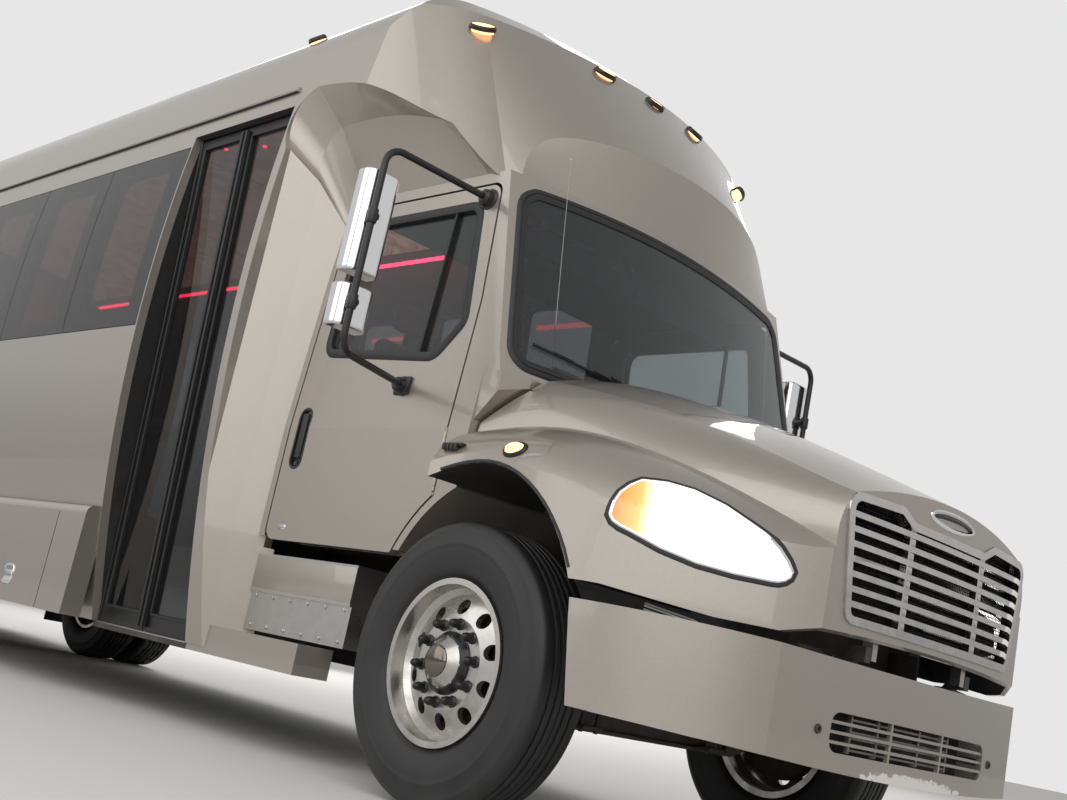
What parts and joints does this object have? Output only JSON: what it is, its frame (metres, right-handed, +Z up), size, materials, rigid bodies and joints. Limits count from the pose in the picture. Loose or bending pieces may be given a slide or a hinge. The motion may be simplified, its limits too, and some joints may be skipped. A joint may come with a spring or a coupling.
{
  "type": "party bus",
  "caption": "Party bus: bowed coach body with a dark window band and a glazed double entrance door on a bonneted truck cab and ladder frame.",
  "frame": {"origin": "on the floor under the middle of the whole vehicle", "axes": "+X to the front of the vehicle, +Y to its left, +Z up"},
  "size_m": [10.465, 3.06, 3.4999],
  "materials": {
    "frame_black": "satin black chassis paint",
    "engine_grey": "cast, dusty",
    "core_black": "black cooler core",
    "spring_steel": "dark, road dust",
    "exhaust_steel": "heat stained",
    "tank_alloy": "bare, dull",
    "body_paint": "pewter metallic, clear coat",
    "clear_glass": "light tint",
    "dark_glass": "dark privacy tint",
    "dark_plastic": "grained",
    "red_seat": "red woven cloth",
    "step_alloy": "polished lower face",
    "floor_black": "black, ribbed rubber on top",
    "lounge_leather": "dark red-black",
    "amber_lamp": "lit amber lens",
    "red_lamp": "red lens",
    "chrome_trim": "bright chrome",
    "lamp_lens": "clear lens, lit",
    "leaf_black": "black anodised frame",
    "wheel_alloy": "machined disc",
    "tyre_rubber": "worn tread"
  },
  "bodies": {
    "root": {"chassis_frame": "frame_black", "cross_members": "frame_black", "engine_block": "engine_grey", "cooler_pack": "core_black", "front_axle": "frame_black", "rear_axle": "frame_black", "leaf_springs": "spring_steel", "drive_shaft": "spring_steel", "exhaust": "exhaust_steel", "fuel_tank": "tank_alloy", "cab_shell": "body_paint", "windshield": "clear_glass", "dashboard": "dark_plastic", "steering_wheel": "dark_plastic", "cab_seats": "red_seat", "cowl_fittings": "dark_plastic", "entry_surround": "dark_plastic", "cab_steps": "step_alloy", "coach_floor": "floor_black", "side_wall_right": "body_paint", "side_wall_left": "body_paint", "coach_roof": "body_paint", "rear_cap": "body_paint", "front_cap": "body_paint", "coach_windows": "dark_glass", "skirt_panels": "body_paint", "entry_steps": "floor_black", "sofas": "lounge_leather", "front_bumper": "body_paint", "rear_bumper": "body_paint", "marker_lamps": "amber_lamp", "tail_lamps": "red_lamp"},
    "hood": {"wheel_housings": "dark_plastic", "hood": "body_paint", "grille": "chrome_trim", "headlamps": "lamp_lens"},
    "cab_door_right": {"cab_door_right": "body_paint", "door_glass_right": "clear_glass", "mirror_right": "chrome_trim"},
    "cab_door_left": {"cab_door_left": "body_paint", "door_glass_left": "clear_glass", "mirror_left": "chrome_trim"},
    "entry_leaf_front": {"entry_leaf_front": "leaf_black", "entry_glass_front": "dark_glass"},
    "entry_leaf_rear": {"entry_leaf_rear": "leaf_black", "entry_glass_rear": "dark_glass"},
    "knuckle_right": {"knuckle_right": "frame_black"},
    "knuckle_left": {"knuckle_left": "frame_black"},
    "tie_rod": {"tie_rod": "spring_steel"},
    "front_wheel_right": {"wheel_front_right": "wheel_alloy", "tyre_front_right": "tyre_rubber"},
    "front_wheel_left": {"wheel_front_left": "wheel_alloy", "tyre_front_left": "tyre_rubber"},
    "rear_wheels_right": {"wheels_rear_right": "wheel_alloy", "tyres_rear_right": "tyre_rubber"},
    "rear_wheels_left": {"wheels_rear_left": "wheel_alloy", "tyres_rear_left": "tyre_rubber"}
  },
  "joints": [
    {"name": "steer_right", "type": "hinge", "parent": "root", "child": "knuckle_right", "pos_m": [3.9675, -0.88, 0.512], "axis": [0, 0, 1], "range_deg": [-35, 35]},
    {"name": "steer_left", "type": "hinge", "parent": "root", "child": "knuckle_left", "pos_m": [3.9675, 0.88, 0.512], "axis": [0, 0, 1], "range_deg": [-35, 35]},
    {"name": "tie_rod_pivot", "type": "hinge", "parent": "knuckle_right", "child": "tie_rod", "pos_m": [3.7925, -0.88, 0.395], "axis": [0, 0, 1], "range_deg": [-35, 35]},
    {"name": "spin_front_right", "type": "hinge", "parent": "knuckle_right", "child": "front_wheel_right", "pos_m": [3.9675, -1, 0.512], "axis": [0, 1, 0], "continuous": true},
    {"name": "spin_front_left", "type": "hinge", "parent": "knuckle_left", "child": "front_wheel_left", "pos_m": [3.9675, 1, 0.512], "axis": [0, 1, 0], "continuous": true},
    {"name": "spin_rear_right", "type": "hinge", "parent": "root", "child": "rear_wheels_right", "pos_m": [-2.4825, -0.92, 0.512], "axis": [0, 1, 0], "continuous": true},
    {"name": "spin_rear_left", "type": "hinge", "parent": "root", "child": "rear_wheels_left", "pos_m": [-2.4825, 0.92, 0.512], "axis": [0, 1, 0], "continuous": true},
    {"name": "door_right_hinge", "type": "hinge", "parent": "root", "child": "cab_door_right", "pos_m": [3.5825, -1.02, 1.4], "axis": [0, 0, 1], "range_deg": [0, 65]},
    {"name": "door_left_hinge", "type": "hinge", "parent": "root", "child": "cab_door_left", "pos_m": [3.5825, 1.02, 1.4], "axis": [0, 0, -1], "range_deg": [0, 65]},
    {"name": "entry_front_hinge", "type": "hinge", "parent": "root", "child": "entry_leaf_front", "pos_m": [2.1625, -1.075, 0.372], "axis": [0, -0.0489, 0.9988], "range_deg": [0, 85]},
    {"name": "entry_rear_hinge", "type": "hinge", "parent": "root", "child": "entry_leaf_rear", "pos_m": [1.2225, -1.075, 0.372], "axis": [0, -0.0489, 0.9988], "range_deg": [-85, 0]},
    {"name": "hood_tilt", "type": "hinge", "parent": "root", "child": "hood", "pos_m": [5.1525, 0, 0.815], "axis": [0, 1, 0], "range_deg": [0, 60]}
  ],
  "couplings": [
    {"joint": "steer_left", "follows": "steer_right", "ratio": 1},
    {"joint": "tie_rod_pivot", "follows": "steer_right", "ratio": -1},
    {"joint": "entry_rear_hinge", "follows": "entry_front_hinge", "ratio": -1}
  ]
}
